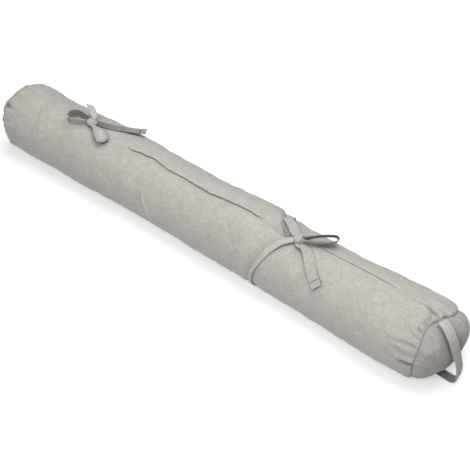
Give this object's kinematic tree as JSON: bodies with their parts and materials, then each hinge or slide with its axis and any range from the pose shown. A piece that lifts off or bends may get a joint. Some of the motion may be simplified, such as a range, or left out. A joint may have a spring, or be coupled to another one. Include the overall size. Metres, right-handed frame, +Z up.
{
  "type": "draught excluder",
  "caption": "Long filled linen roll with a lapped closure along the top, a bow on the closure, a tie round the roll, bulged round end panels and a hanging loop.",
  "frame": {"origin": "middle of the flat foot that the roll lies on", "axes": "+X along the roll to the end with the hanging loop, +Z up through the closure, -Y the front"},
  "size_m": [0.9121, 0.1345, 0.1394],
  "materials": {
    "linen": "plain weave, matt",
    "tie_linen": "plain weave, matt",
    "strap_linen": "plain weave, matt"
  },
  "bodies": {
    "root": {"cover_body": "linen", "end_panel_left": "linen", "end_panel_right": "linen", "left_bow_knot": "tie_linen", "left_bow_loop": "tie_linen", "left_bow_folded_loop": "tie_linen", "left_bow_short_tail": "tie_linen", "left_bow_long_tail": "tie_linen", "right_bow_band": "tie_linen", "right_bow_knot": "tie_linen", "right_bow_loop": "tie_linen", "right_bow_short_tail": "tie_linen", "right_bow_tail": "tie_linen", "hanging_loop": "strap_linen"}
  },
  "joints": []
}
